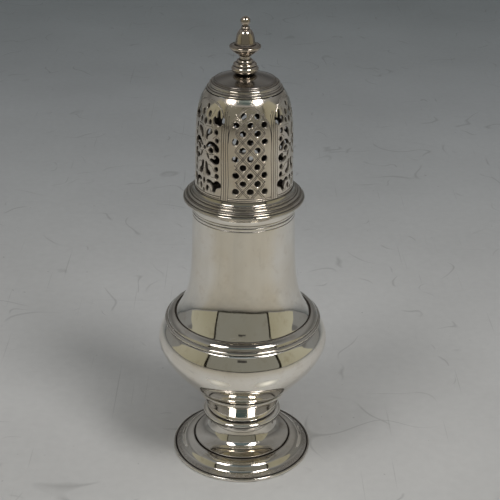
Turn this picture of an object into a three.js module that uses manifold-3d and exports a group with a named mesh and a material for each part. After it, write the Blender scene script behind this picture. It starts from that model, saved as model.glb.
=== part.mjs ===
// Baluster pepper pot in polished silver, mid-eighteenth-century style.
// Millimetres, +Z up, origin on the axis at the surface the foot stands on.
// Every piece is a turned or raised shell about the Z axis; the pierced cover is
// a push fit in the neck and lifts off for filling.
import * as THREE from 'three';
import { mergeVertices } from 'three/addons/utils/BufferGeometryUtils.js';
import Module from 'manifold-3d';

// ---------------------------------------------------------------- driving dimensions
const FOOT_R = 22.9;          // foot rim, outer radius
const FOOT_LAND_R = 21.3;     // inner radius of the flat land the pot stands on
const RIM_TOP = 0.95;         // top face of the foot rim
const STEP_R = 15.66;         // raised inner part of the foot
const WAIST_R = 9.2;          // narrowest radius of the pedestal
const COLLAR_BASE = 13.3;     // underside of the collar below the bowl
const COLLAR_TOP = 24.8;      // joint between collar and bowl
const BOWL_R = 27.05;         // widest radius of the body
const BOWL_TOP = 48.3;        // joint between bowl, girdle and neck
const NECK_TOP = 87.0;        // joint between neck and mouth rim
const NECK_R = 15.85;         // neck radius under the mouth rim
const MOUTH_R = 14.95;        // bore of the neck that the cover's sleeve fits
const MOUTH_Z = 89.9;         // top of the pot body
const SEAT_Z = 90.05;         // underside of the cover's flange, cover on
const SLEEVE_R = 14.7;        // cover sleeve, outer radius
const SLEEVE_DEPTH = 8.6;     // length of the sleeve below the flange
const FLANGE_R = 18.6;        // cover flange, widest radius
const DOME_Z = 95.0;          // foot of the pierced dome
const DOME_R = 14.95;         // radius at the foot of the dome
const DOME_TOP = 125.3;       // top edge of the dome shell
const CAP_Z = 127.75;         // joint between cap moulding and cap disc
const FINIAL_Z = 129.85;      // underside of the finial's foot
const PEG_R = 1.0;            // finial peg
const BALL_R = 1.45;          // ball at the very top
const TOP_Z = 146.75;         // overall height
const SEG = 28;               // sides of the round pieces
const PANEL_AZ = 7.0;         // azimuth of the first lattice panel, degrees right of -Y
const HOLE_R = 0.98;          // round piercings of the lattice

const silver = () => new THREE.MeshStandardMaterial({ color: 0xc9c6bd, roughness: 0.12, metalness: 1.0 });
const silverSatin = () => new THREE.MeshStandardMaterial({ color: 0xb9b6ae, roughness: 0.25, metalness: 1.0 });

// A solid of revolution from a closed profile of [radius, height] pairs,
// up the outside and down the inside.
function turned(name, profile, segments = SEG, material = silver()) {
  const pts = profile.map(([r, z]) => new THREE.Vector2(r, z));
  const first = pts[0], last = pts[pts.length - 1];
  if (first.x > 0 || last.x > 0) pts.push(first.clone());
  const g = new THREE.LatheGeometry(pts, segments);
  g.rotateX(Math.PI / 2);
  const mesh = new THREE.Mesh(g, material);
  mesh.name = name;
  return mesh;
}

// ---------------------------------------------------------------- foot
const footRim = turned('foot_rim', [
  [FOOT_LAND_R, 0], [22.45, 0], [FOOT_R, 0.33], [FOOT_R, 0.62], [22.5, RIM_TOP], [FOOT_LAND_R, RIM_TOP],
]);

const footMoulding = turned('foot_moulding', [
  [FOOT_LAND_R, RIM_TOP], [22.2, RIM_TOP], [21.6, 1.33], [20.5, 1.72], [19.95, 2.08], [19.45, 2.75],
  [18.95, 3.42], [18.4, 3.86], [17.3, 4.18], [16.0, 4.3], [STEP_R + 0.1, 4.3], [STEP_R - 1.0, 3.85],
  [15.9, 3.2], [17.2, 3.0], [18.2, 2.4], [19.0, 1.7], [20.0, 1.2],
]);

const footPedestal = turned('foot_pedestal', [
  [STEP_R - 1.0, 3.95], [STEP_R, 4.4], [STEP_R, 4.68], [14.1, 4.97], [13.0, 5.32], [12.0, 5.84], [11.1, 6.56],
  [10.36, 7.55], [9.79, 8.9], [9.35, 10.4], [WAIST_R, 11.1], [9.5, 11.85], [10.7, 12.55], [12.5, COLLAR_BASE],
  [9.6, COLLAR_BASE], [8.7, 12.4], [8.25, 11.3], [8.45, 10.3], [8.9, 8.8], [9.5, 7.3], [10.3, 6.1], [11.4, 5.1],
  [13.0, 4.3],
]);

// ---------------------------------------------------------------- collar under the bowl
const stemCollar = turned('stem_collar', [
  [10.6, COLLAR_BASE], [12.5, COLLAR_BASE], [12.93, 13.7], [12.5, 14.1], [12.8, 14.45], [12.2, 15.1],
  [11.35, 15.5], [11.9, 17.2], [12.8, 19.3], [13.83, 21.35], [14.73, 23.0], [15.1, 24.0], [15.5, 24.4],
  [15.4, COLLAR_TOP], [14.2, COLLAR_TOP], [13.6, 22.6], [12.6, 20.6], [11.6, 18.2], [10.7, 16.2],
  [10.4, 15.2], [10.4, 14.0],
]);

// ---------------------------------------------------------------- body
const bowl = turned('bowl', [
  [0, COLLAR_TOP], [15.35, COLLAR_TOP], [16.85, 26.15], [18.6, 27.95], [20.5, 30.15], [22.7, 32.87],
  [24.85, 35.95], [26.45, 39.3], [BOWL_R, 41.8], [26.65, 44.4], [25.52, 46.7], [24.35, BOWL_TOP],
  [22.6, BOWL_TOP], [23.4, 47.4], [25.55, 44.4], [26.05, 41.6], [25.45, 39.0], [23.6, 35.9], [20.3, 32.1],
  [18.0, 29.5], [16.0, 27.4], [14.6, 26.3], [12.6, 25.9], [0, 25.75],
]);

const girdle = turned('girdle_moulding', [
  [23.4, BOWL_TOP], [24.5, BOWL_TOP], [24.94, 48.9], [24.4, 49.53], [23.84, 50.09], [23.04, 50.96],
  [22.4, 51.32], [21.4, 51.25],
]);

const neck = turned('neck', [
  [22.4, BOWL_TOP], [23.3, BOWL_TOP], [21.25, 51.25], [20.15, 53.3], [19.2, 55.2], [18.1, 57.2], [17.0, 61.0],
  [16.4, 66.0], [16.05, 75.0], [NECK_R, NECK_TOP],
  [MOUTH_R, NECK_TOP], [14.98, 75.0], [15.3, 67.0], [15.95, 61.3], [17.2, 57.0], [18.4, 54.7], [20.2, 51.2],
]);

const bodyRim = turned('body_rim', [
  [MOUTH_R, NECK_TOP], [NECK_R, NECK_TOP], [16.15, 87.4], [16.15, 88.9], [16.6, MOUTH_Z], [MOUTH_R, MOUTH_Z],
]);

// ---------------------------------------------------------------- cover
const coverSleeve = turned('cover_sleeve', [
  [13.75, SEAT_Z - SLEEVE_DEPTH], [14.5, SEAT_Z - SLEEVE_DEPTH], [SLEEVE_R, SEAT_Z - SLEEVE_DEPTH + 0.6],
  [SLEEVE_R, SEAT_Z], [13.75, SEAT_Z],
], SEG, silverSatin());

const coverFlange = turned('cover_flange', [
  [13.75, SEAT_Z], [17.3, SEAT_Z], [18.3, 90.5], [FLANGE_R, 91.1], [18.4, 91.75], [17.4, 92.2], [16.8, 92.95],
  [16.2, 93.3], [15.9, 94.3], [15.1, DOME_Z], [14.0, DOME_Z],
]);

// Dome shell before piercing.
const domeBlank = turned('cover_dome', [
  [14.05, DOME_Z], [DOME_R, DOME_Z], [14.72, 106.0], [14.45, 115.5],
  [13.85, 119.7], [12.9, 122.8], [11.3, DOME_TOP],
  [10.4, DOME_TOP - 0.4], [12.1, 122.2], [13.05, 119.3], [13.65, 115.3],
]);

const wasm = await Module();
wasm.setup();

function toManifold(geometry) {
  let g = geometry.clone();
  g.deleteAttribute('normal');
  g.deleteAttribute('uv');
  g = mergeVertices(g, 1e-4);
  const tri = [];
  const ix = g.index.array;
  for (let i = 0; i < ix.length; i += 3) {
    if (ix[i] !== ix[i + 1] && ix[i + 1] !== ix[i + 2] && ix[i] !== ix[i + 2]) tri.push(ix[i], ix[i + 1], ix[i + 2]);
  }
  return new wasm.Manifold(new wasm.Mesh({
    numProp: 3,
    vertProperties: Float32Array.from(g.attributes.position.array),
    triVerts: Uint32Array.from(tri),
  }));
}

function fromManifold(solid) {
  const m = solid.getMesh();
  const g = new THREE.BufferGeometry();
  g.setAttribute('position', new THREE.BufferAttribute(Float32Array.from(m.vertProperties), 3));
  g.setIndex(new THREE.BufferAttribute(Uint32Array.from(m.triVerts), 1));
  g.computeVertexNormals();
  return g;
}

// A prism that pierces the dome wall. The outline is given as [azimuth in degrees, height];
// the prism runs along the radius through the outline's middle.
function piercing(outline) {
  const mid = outline.reduce((s, p) => s + p[0], 0) / outline.length;
  const shape = new THREE.Shape(outline.map(([az, z]) =>
    new THREE.Vector2(14.4 * Math.sin((az - mid) * Math.PI / 180), z)));
  const g = new THREE.ExtrudeGeometry(shape, { depth: 6, bevelEnabled: false, steps: 1 });
  const a = (mid - 90) * Math.PI / 180;
  const radial = new THREE.Vector3(Math.cos(a), Math.sin(a), 0);
  const across = new THREE.Vector3(-Math.sin(a), Math.cos(a), 0);
  const m = new THREE.Matrix4().makeBasis(across, new THREE.Vector3(0, 0, 1), radial);
  m.setPosition(radial.clone().multiplyScalar(10.5));
  g.applyMatrix4(m);
  return toManifold(g);
}

// An oval outline, half-width across in mm and half-height in mm.
function oval(az, z, across, up, sides, turn = 0) {
  const out = [];
  for (let i = 0; i < sides; i++) {
    const t = 2 * Math.PI * (i + 0.5) / sides + turn;
    out.push([az + (across * Math.cos(t) / 14.7) * 180 / Math.PI, z + up * Math.sin(t)]);
  }
  return out;
}

// Lattice panel: rows of three and two round holes, staggered.
const lattice = [];
for (let row = 0; row < 10; row++) {
  const z = 98.2 + 2.55 * row;
  const cols = row % 2 === 0 ? [-17, 0, 17] : [-8.5, 8.5];
  for (const c of cols) lattice.push(oval(c, z, HOLE_R, HOLE_R, 5));
}

// Foliate scroll panel, right-hand half; azimuths from the panel's middle.
const scrollHalf = [
  [[3.6, 112.9], [4.4, 115.2], [9.0, 116.3], [12.4, 115.2], [7.0, 114.1]],
  [[3.4, 110.7], [7.6, 112.3], [18.0, 112.4], [22.2, 110.6], [19.2, 109.6], [13.8, 111.2]],
  [[7.4, 109.7], [11.2, 110.6], [13.6, 109.6], [9.4, 109.0]],
  [[9.4, 106.7], [17.2, 107.3], [20.0, 108.7], [23.2, 107.4], [20.0, 106.0], [13.0, 105.9]],
  [[2.0, 105.7], [4.4, 105.6], [10.4, 102.5], [6.6, 101.6]],
  [[5.4, 99.9], [15.6, 99.8], [19.6, 100.9], [24.0, 99.6], [18.8, 98.3], [15.6, 96.9], [12.8, 98.8]],
  [[13.0, 118.5], [22.0, 118.9], [26.6, 120.4], [18.8, 121.9], [17.0, 119.9]],
  oval(5.9, 97.7, 0.55, 0.9, 4), oval(5.9, 120.2, 0.55, 0.9, 4),
  oval(19.0, 115.7, 0.8, 0.9, 5), oval(19.4, 113.9, 0.65, 0.65, 4),
  oval(19.3, 104.5, 0.8, 0.9, 5), oval(19.4, 102.3, 0.8, 0.8, 4),
];
const scrollMiddle = [
  oval(0, 110.2, 0.6, 0.75, 4), oval(0, 99.9, 0.6, 0.9, 4), oval(0, 118.1, 0.65, 0.9, 4), oval(0, 122.1, 0.6, 0.8, 4),
];

const outlines = [];
for (let k = 0; k < 3; k++) {
  const a = PANEL_AZ + 120 * k;
  for (const o of lattice) outlines.push(o.map(([az, z]) => [az + a, z]));
  const b = a + 60;
  for (const o of scrollMiddle) outlines.push(o.map(([az, z]) => [az + b, z]));
  for (const o of scrollHalf) {
    outlines.push(o.map(([az, z]) => [b + az, z]));
    outlines.push(o.map(([az, z]) => [b - az, z]).reverse());
  }
}

let shell = toManifold(domeBlank.geometry);
let cutters = null;
for (const o of outlines) {
  const c = piercing(o);
  cutters = cutters ? cutters.add(c) : c;
}
shell = shell.subtract(cutters);
const coverDome = new THREE.Mesh(fromManifold(shell), silver());
coverDome.name = 'cover_dome';

// ---------------------------------------------------------------- cap and finial
const capMoulding = turned('cap_moulding', [
  [10.3, DOME_TOP], [11.25, DOME_TOP], [11.3, 125.85], [10.9, 126.4], [10.45, 126.6], [10.2, 127.2], [9.6, CAP_Z],
  [8.6, CAP_Z], [8.9, 126.6], [9.7, 125.9],
]);

const capDisc = turned('cap_disc', [
  [PEG_R + 0.15, 128.9], [5.0, 128.6], [8.3, CAP_Z], [9.4, CAP_Z], [9.25, 128.15], [8.7, 128.4], [6.9, 129.0],
  [4.6, 129.5], [PEG_R + 0.15, FINIAL_Z - 0.05],
], 24);

const finialProfile = [
  [0, 128.7], [PEG_R, 128.7], [PEG_R, FINIAL_Z], [2.6, FINIAL_Z], [2.75, 130.05], [3.7, 130.4], [3.95, 131.1],
  [3.6, 131.9], [3.3, 132.5], [2.5, 133.0], [2.2, 133.7], [1.65, 134.7], [2.1, 135.6], [3.6, 136.7], [4.6, 137.7],
  [4.6, 138.2], [3.4, 138.6], [2.75, 139.4], [2.55, 140.8], [2.05, 142.2], [1.25, 143.2], [1.25, 143.8], [0.95, 144.15],
];
const ballZ = TOP_Z - BALL_R;
for (let i = 0; i <= 5; i++) {
  const t = -0.6 + (Math.PI / 2 + 0.6) * (i / 5);
  finialProfile.push([i === 5 ? 0 : BALL_R * Math.cos(t), ballZ + BALL_R * Math.sin(t)]);
}
const finial = turned('finial', finialProfile, 16);

// ---------------------------------------------------------------- assembly
const pot = new THREE.Group();
pot.name = 'pot';
pot.add(footRim, footMoulding, footPedestal, stemCollar, bowl, girdle, neck, bodyRim);
const cover = new THREE.Group();
cover.name = 'cover';
cover.add(coverSleeve, coverFlange, coverDome, capMoulding, capDisc, finial);

const object = new THREE.Group();
object.name = 'pepper_pot';
object.add(pot, cover);

export default object;
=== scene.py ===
"""A baluster pepper pot in old polished silver on a pale studio table: Blender 4.5 scene.
All lengths in the tables are millimetres; the meshes are in metres."""
import bpy
import math
import numpy as np
from mathutils import Matrix, Vector
from mathutils.geometry import delaunay_2d_cdt


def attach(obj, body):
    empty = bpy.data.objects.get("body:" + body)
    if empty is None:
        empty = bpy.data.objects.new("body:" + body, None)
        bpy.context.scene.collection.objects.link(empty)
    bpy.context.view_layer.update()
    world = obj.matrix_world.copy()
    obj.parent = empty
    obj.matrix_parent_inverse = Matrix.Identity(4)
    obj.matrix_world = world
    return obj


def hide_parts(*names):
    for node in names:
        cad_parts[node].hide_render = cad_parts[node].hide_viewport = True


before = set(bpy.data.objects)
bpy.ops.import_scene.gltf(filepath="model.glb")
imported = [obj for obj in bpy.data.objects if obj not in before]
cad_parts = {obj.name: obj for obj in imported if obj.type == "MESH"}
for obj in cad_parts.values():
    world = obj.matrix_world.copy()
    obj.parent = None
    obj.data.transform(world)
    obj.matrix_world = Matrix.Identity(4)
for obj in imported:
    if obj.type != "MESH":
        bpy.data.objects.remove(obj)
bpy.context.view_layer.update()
MM = 0.001
scene = bpy.context.scene

# ------------------------------------------------------------------ camera
PITCH, YAW, ROLL = 0.452672, 0.0061363, 0.0117409
cam_data = bpy.data.cameras.new("camera")
cam_data.sensor_width = 36.0
cam_data.lens = 86.25
cam_data.clip_start, cam_data.clip_end = 0.01, 30.0
cam = bpy.data.objects.new("camera", cam_data)
scene.collection.objects.link(cam)
cp, sp, cy, sy, cr, sr = (math.cos(PITCH), math.sin(PITCH), math.cos(YAW), math.sin(YAW),
                          math.cos(ROLL), math.sin(ROLL))
right = Vector((cy, -sy, 0.0))
ahead = Vector((cp * sy, cp * cy, -sp))
up = Vector((sp * sy, sp * cy, cp))
right, up = cr * right + sr * up, -sr * right + cr * up
turn = Matrix((right, up, -ahead)).transposed().to_4x4()
cam.matrix_world = Matrix.Translation((0.0, -0.337448, 0.236439)) @ turn
scene.camera = cam


# ------------------------------------------------------------------ curves
def spline(pts, step=0.14, relax=4):
    """Centripetal Catmull-Rom through pts, evenly sampled, then eased so that its curvature runs smoothly."""
    P = np.array(pts, float)
    if len(P) < 3:
        n = max(1, int(math.ceil(np.linalg.norm(P[-1] - P[0]) / step)))
        return [tuple(P[0] + (P[-1] - P[0]) * i / n) for i in range(n + 1)]
    Q = np.vstack([2 * P[0] - P[1], P, 2 * P[-1] - P[-2]])
    out = []
    for i in range(1, len(Q) - 2):
        p = Q[i - 1:i + 3]
        t = np.concatenate([[0], np.cumsum(np.maximum(1e-6, np.linalg.norm(np.diff(p, axis=0), axis=1)) ** 0.5)])
        n = max(4, int(np.linalg.norm(p[2] - p[1]) / (step * 0.25)))
        for u in np.linspace(t[1], t[2], n, endpoint=False):
            a = [(t[k + 1] - u) / (t[k + 1] - t[k]) * p[k] + (u - t[k]) / (t[k + 1] - t[k]) * p[k + 1] for k in range(3)]
            b = [(t[k + 2] - u) / (t[k + 2] - t[k]) * a[k] + (u - t[k]) / (t[k + 2] - t[k]) * a[k + 1] for k in range(2)]
            out.append((t[2] - u) / (t[2] - t[1]) * b[0] + (u - t[1]) / (t[2] - t[1]) * b[1])
    out.append(P[-1])
    out = np.array(out)
    d = np.concatenate([[0], np.cumsum(np.linalg.norm(np.diff(out, axis=0), axis=1))])
    n = max(2, int(round(d[-1] / step)))
    u = np.linspace(0, d[-1], n + 1)
    out = np.stack([np.interp(u, d, out[:, 0]), np.interp(u, d, out[:, 1])], 1)
    for _ in range(relax):
        out[1:-1] = 0.25 * out[:-2] + 0.5 * out[1:-1] + 0.25 * out[2:]
    return [tuple(p) for p in out]


def arc(r, z, rad, a0, a1, n=9):
    """Round bead: centre, radius, from angle a0 to a1 in degrees, 0 outward and 90 up."""
    return [(r + rad * math.cos(math.radians(a0 + (a1 - a0) * i / n)), z + rad * math.sin(math.radians(a0 + (a1 - a0) * i / n)))
            for i in range(n + 1)]


def join(*parts):
    """One polyline from points and point lists, without repeats."""
    out = []
    for p in parts:
        for q in (p if isinstance(p, list) else [p]):
            if not out or math.dist(out[-1], q) > 0.02:
                out.append((float(q[0]), float(q[1])))
    return out


# ------------------------------------------------------------------ turned pieces
def finish_piece(name, verts, faces, body, node, material, tarnish_and_shade, sharp=38.0):
    mesh = bpy.data.meshes.new(name)
    mesh.from_pydata([tuple(v) for v in verts], [], [tuple(f) for f in faces])
    mesh.validate()
    attribute = mesh.attributes.new("tarnish_and_shade", "FLOAT", "POINT")
    attribute.data.foreach_set("value", np.asarray(tarnish_and_shade, np.float32))
    mesh.polygons.foreach_set("use_smooth", np.ones(len(mesh.polygons), bool))
    if sharp:
        mesh.set_sharp_from_angle(angle=math.radians(sharp))
    mesh.materials.append(material)
    mesh.update()
    ob = bpy.data.objects.new(name, mesh)
    scene.collection.objects.link(ob)
    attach(ob, body)
    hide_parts(node)
    return ob


def hand(th, z, amp):
    """Slight unevenness of a hand-raised wall, mm."""
    return amp * (0.45 * np.sin(3 * th + 1.3 + 0.11 * z) + 0.3 * np.sin(5 * th - 0.17 * z + 0.4) + 0.35 * np.sin(2 * th + 0.31 * z + 2.1)
                  + 0.22 * np.sin(9 * th + 0.23 * z) + 0.16 * np.sin(13 * th - 0.41 * z + 1.0))


def turned(node, outer, inner, body, material, grime_and_shade_spots=(), seg=192, uneven=0.0, inside=0.35, sharp=38.0):
    """A closed solid of revolution: outer profile going up, then inner profile coming down. Each darkening spot is
    (r, z, reach, strength): patina left by old polish in the joints, together with painted shade in grooves, gaps and
    under overhangs; inner faces get at least the inside value, patina and painted shade as well."""
    prof = join(outer) + join(inner)
    prof = [p for i, p in enumerate(prof) if i == 0 or math.dist(p, prof[i - 1]) > 0.012]
    if math.dist(prof[0], prof[-1]) < 0.012:
        prof.pop()
    n_out = len(join(outer))
    area = sum(prof[i][0] * prof[(i + 1) % len(prof)][1] - prof[(i + 1) % len(prof)][0] * prof[i][1] for i in range(len(prof)))
    if area < 0:
        raise ValueError(f"{node}: profile runs the wrong way")
    th = np.linspace(0, 2 * np.pi, seg, endpoint=False)
    verts, rows, grime_and_shade = [], [], []
    for i, (r, z) in enumerate(prof):
        d = 0.0
        for gr, gz, reach, strength in grime_and_shade_spots:
            d = max(d, strength * math.exp(-((math.hypot(r - gr, z - gz) / reach) ** 2)))
        if i >= n_out:
            d = max(d, inside)
        if r < 1e-6:
            rows.append([len(verts)])
            verts.append((0.0, 0.0, z * MM))
            grime_and_shade.append(d)
            continue
        rr = r + (hand(th, z, uneven) if uneven and i < n_out else 0.0)
        rr = np.broadcast_to(rr, th.shape)
        rows.append(list(range(len(verts), len(verts) + seg)))
        verts.extend(zip(rr * np.cos(th) * MM, rr * np.sin(th) * MM, np.full(seg, z * MM)))
        grime_and_shade.extend([d] * seg)
    faces = []
    loop = prof[0][0] > 1e-6 or prof[-1][0] > 1e-6
    for i in range(len(rows) if loop else len(rows) - 1):
        a, b = rows[i], rows[(i + 1) % len(rows)]
        if len(a) == 1 and len(b) == 1:
            continue
        for k in range(seg):
            m = (k + 1) % seg
            if len(a) == 1:
                faces.append((a[0], b[m], b[k]))
            elif len(b) == 1:
                faces.append((a[k], a[m], b[0]))
            else:
                faces.append((a[k], a[m], b[m], b[k]))
    return finish_piece(node + "_metal", verts, faces, body, node, material, grime_and_shade, sharp)


# ------------------------------------------------------------------ silver
def silver(name, light=(0.985, 0.95, 0.885), deep=(0.93, 0.875, 0.78), rough=(0.055, 0.12), grain=1.0, stain=0.12):
    """Old polished silver: warm tone that varies, turning marks, fine scratches, and a near-black colour where the
    piece's own
    darkening values are high: patina in the joints together with painted shade."""
    m = bpy.data.materials.new(name)
    m.use_nodes = True
    nt = m.node_tree
    nt.nodes.clear()

    def add(kind, **values):
        n = nt.nodes.new(kind)
        for k, v in values.items():
            setattr(n, k, v)
        return n

    def link(a, b):
        nt.links.new(a, b)

    def value(x, socket):
        if hasattr(x, "is_linked"):
            link(x, socket)
        else:
            socket.default_value = x

    def maths(op, a, b=0.0, clamp=False):
        n = add("ShaderNodeMath", operation=op, use_clamp=clamp)
        value(a, n.inputs[0])
        value(b, n.inputs[1])
        return n.outputs[0]

    def noise(scale, detail=2.0, stretch=None, turn=None, roughness=0.5):
        n = add("ShaderNodeTexNoise")
        n.inputs["Scale"].default_value = scale
        n.inputs["Detail"].default_value = detail
        n.inputs["Roughness"].default_value = roughness
        if stretch:
            mp = add("ShaderNodeMapping")
            mp.inputs["Scale"].default_value = stretch
            if turn:
                mp.inputs["Rotation"].default_value = turn
            link(coord.outputs["Object"], mp.inputs["Vector"])
            link(mp.outputs[0], n.inputs["Vector"])
        else:
            link(coord.outputs["Object"], n.inputs["Vector"])
        return n.outputs["Fac"]

    def ramp(x, lo, hi, to_lo=0.0, to_hi=1.0):
        n = add("ShaderNodeMapRange", clamp=True)
        value(x, n.inputs["Value"])
        for k, v in (("From Min", lo), ("From Max", hi), ("To Min", to_lo), ("To Max", to_hi)):
            n.inputs[k].default_value = v
        return n.outputs["Result"]

    def mix(fac, a, b):
        n = add("ShaderNodeMix", data_type="RGBA")
        value(fac, n.inputs["Factor"])
        for x, s in ((a, n.inputs["A"]), (b, n.inputs["B"])):
            if isinstance(x, tuple):
                s.default_value = (*x, 1.0)
            else:
                link(x, s)
        return n.outputs["Result"]

    out = add("ShaderNodeOutputMaterial")
    bsdf = add("ShaderNodeBsdfPrincipled")
    link(bsdf.outputs[0], out.inputs["Surface"])
    coord = add("ShaderNodeTexCoord")

    cloud = noise(85.0, 3.0)
    patch = noise(260.0, 4.0, roughness=0.6)
    fine = noise(1500.0, 3.0)
    rings = noise(1.0, 2.0, stretch=(90.0, 90.0, 3600.0))
    streak_a = noise(1.0, 1.0, stretch=(9000.0, 160.0, 900.0), turn=(0.4, 0.9, 0.3))
    streak_b = noise(1.0, 1.0, stretch=(900.0, 9000.0, 200.0), turn=(1.1, 0.2, 1.9))

    grime_shade_attr = add("ShaderNodeAttribute", attribute_name="tarnish_and_shade")
    grime_and_shade = ramp(maths("MULTIPLY", grime_shade_attr.outputs["Fac"], ramp(patch, 0.3, 0.65, 0.8, 1.12)), 0.04, 0.76)

    tone = mix(ramp(cloud, 0.35, 0.68), light, deep)
    film = maths("MULTIPLY", ramp(patch, 0.56, 0.74), stain)
    tone = mix(film, tone, (0.50, 0.38, 0.24))
    scratch = maths("MAXIMUM", ramp(streak_a, 0.70, 0.78), ramp(streak_b, 0.71, 0.79))
    scratch = maths("MULTIPLY", scratch, ramp(cloud, 0.42, 0.6, 0.1, 1.0))
    tone = mix(maths("MULTIPLY", scratch, 0.22), tone, (0.42, 0.35, 0.26))
    # Near-black colour where the piece's darkening values are high: patina in the joints and painted shade.
    tone = mix(grime_and_shade, tone, (0.022, 0.015, 0.009))
    link(tone, bsdf.inputs["Base Color"])

    gloss = ramp(patch, 0.3, 0.7, rough[0], rough[1])
    gloss = maths("ADD", gloss, maths("MULTIPLY", scratch, 0.16))
    gloss = maths("ADD", gloss, maths("MULTIPLY", grime_and_shade, 0.42), clamp=True)
    link(gloss, bsdf.inputs["Roughness"])
    link(ramp(grime_and_shade, 0.25, 1.0, 1.0, 0.25), bsdf.inputs["Metallic"])

    height = maths("MULTIPLY", rings, 0.35)
    height = maths("ADD", height, maths("MULTIPLY", fine, 0.5))
    height = maths("ADD", height, maths("MULTIPLY", patch, 0.6))
    height = maths("SUBTRACT", height, maths("MULTIPLY", scratch, 0.7))
    bump = add("ShaderNodeBump")
    bump.inputs["Strength"].default_value = 0.5
    bump.inputs["Distance"].default_value = 0.0000045 * grain
    link(height, bump.inputs["Height"])
    link(bump.outputs[0], bsdf.inputs["Normal"])
    return m


polished = silver("silver_polished", rough=(0.03, 0.06))
body_silver = silver("silver_body_rubbed", light=(0.985, 0.955, 0.895), deep=(0.925, 0.87, 0.775), rough=(0.03, 0.07), grain=1.8, stain=0.22)
worn_silver = silver("silver_pierced", light=(0.86, 0.80, 0.71), deep=(0.74, 0.665, 0.555), rough=(0.10, 0.22), grain=3.2, stain=0.34)
sleeve_silver = silver("silver_sleeve_satin", light=(0.86, 0.80, 0.70), deep=(0.74, 0.66, 0.54), rough=(0.2, 0.34), grain=5.0, stain=0.3)
# The foot's silver is duller and stained, and its colour is also darker as painted shade for the shadowed table and
# undersides it reflects.
foot_silver = silver("silver_foot", light=(0.88, 0.845, 0.785), deep=(0.73, 0.68, 0.60), rough=(0.045, 0.1), grain=1.8, stain=0.35)
# The girdle's silver is a darker copy: painted shade for the dim studio that the girdle's sides reflect.
girdle_silver = silver("silver_girdle", light=(0.82, 0.785, 0.725), deep=(0.68, 0.635, 0.56), rough=(0.04, 0.08), grain=1.4, stain=0.25)
cover_silver = silver("silver_cover", light=(0.71, 0.67, 0.60), deep=(0.53, 0.485, 0.41), rough=(0.045, 0.10), grain=1.8, stain=0.4)
cap_silver = silver("silver_cap_dull", light=(0.40, 0.373, 0.342), deep=(0.29, 0.264, 0.236), rough=(0.10, 0.2), grain=2.4, stain=0.4)
finial_silver = silver("silver_finial_warm", light=(0.68, 0.61, 0.53), deep=(0.47, 0.40, 0.325), rough=(0.05, 0.12), grain=1.4, stain=0.4)

# ------------------------------------------------------------------ the pot's turned pieces
turned("foot_rim",
       join([(21.3, 0.0), (22.5, 0.0), (22.7, 0.05), (22.83, 0.17), (22.9, 0.35), (22.92, 0.6), (22.88, 0.8), (22.78, 0.96), (22.62, 1.06), (22.46, 1.07),
             (22.34, 1.0), (22.27, 0.88), (22.24, 0.72)]),
       [(21.3, 0.66)], "pot", foot_silver,
       grime_and_shade_spots=[(22.22, 0.84, 0.36, 1.0), (22.3, 0.0, 0.5, 0.5)], seg=200, inside=0.8)

# The wide faint dark band on the lower ledge at (21.2, 1.36) is a painted reflection of the shaded collar and pedestal
# undersides.
turned("foot_moulding",
       join([(21.3, 0.72), (21.84, 0.72), (21.92, 0.84), (21.95, 0.96)],
            spline([(21.92, 1.05), (21.78, 1.13), (21.45, 1.25), (21.0, 1.42), (20.5, 1.62), (20.2, 1.78), (19.95, 2.0), (19.72, 2.3), (19.45, 2.7),
                    (19.2, 3.09), (18.95, 3.41), (18.7, 3.65), (18.4, 3.85), (18.0, 4.02), (17.3, 4.17), (16.6, 4.25), (16.15, 4.28)], 0.1, 6),
            [(16.02, 4.27), (15.9, 4.18), (15.86, 4.02)]),
       [(14.75, 3.55), (15.7, 3.2), (16.9, 3.0), (18.0, 2.5), (19.0, 1.75), (20.2, 1.2), (21.0, 1.0)], "pot", foot_silver,
       grime_and_shade_spots=[(21.98, 0.86, 0.36, 1.0), (15.87, 4.12, 0.42, 1.0), (21.2, 1.36, 0.8, 0.42)], seg=200, inside=0.6, uneven=0.03)

# The broad dark spot under the collar at (9.5, 12.0) is painted shade; the ring grooves mix patina and painted shade.
turned("foot_pedestal",
       join([(14.75, 3.75), (15.66, 4.02), (15.66, 4.5), (15.63, 4.6), (15.55, 4.67)],
            spline([(15.45, 4.71), (14.8, 4.82), (14.1, 4.97), (13.5, 5.14), (13.0, 5.32), (12.5, 5.55), (12.0, 5.84), (11.5, 6.2), (11.1, 6.56), (10.7, 7.02), (10.36, 7.55),
                    (10.06, 8.2), (9.79, 8.9), (9.55, 9.7), (9.35, 10.4), (9.22, 11.0), (9.25, 11.45), (9.5, 11.85), (10.0, 12.2), (10.7, 12.55), (11.4, 12.85), (12.0, 13.07), (12.45, 13.22)], 0.12, 3)),
       [(9.8, 13.25), (8.9, 12.5), (8.35, 11.6), (8.35, 10.8), (8.6, 9.8), (8.95, 8.7), (9.4, 7.5), (10.0, 6.4), (10.9, 5.5), (11.9, 4.85), (13.0, 4.4)], "pot", foot_silver,
       grime_and_shade_spots=[(15.68, 4.1, 0.36, 1.0), (15.66, 4.38, 0.3, 1.0), (12.48, 13.25, 0.22, 0.9), (9.5, 12.0, 0.6, 0.5), (9.3, 10.95, 0.18, 0.7), (9.42, 10.15, 0.12, 0.5)], seg=200, inside=0.6, uneven=0.03)

# The wide black spot at the notch (11.16, 15.45) is painted shade for the shadowed gap between the cup and the bead
# below.
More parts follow.
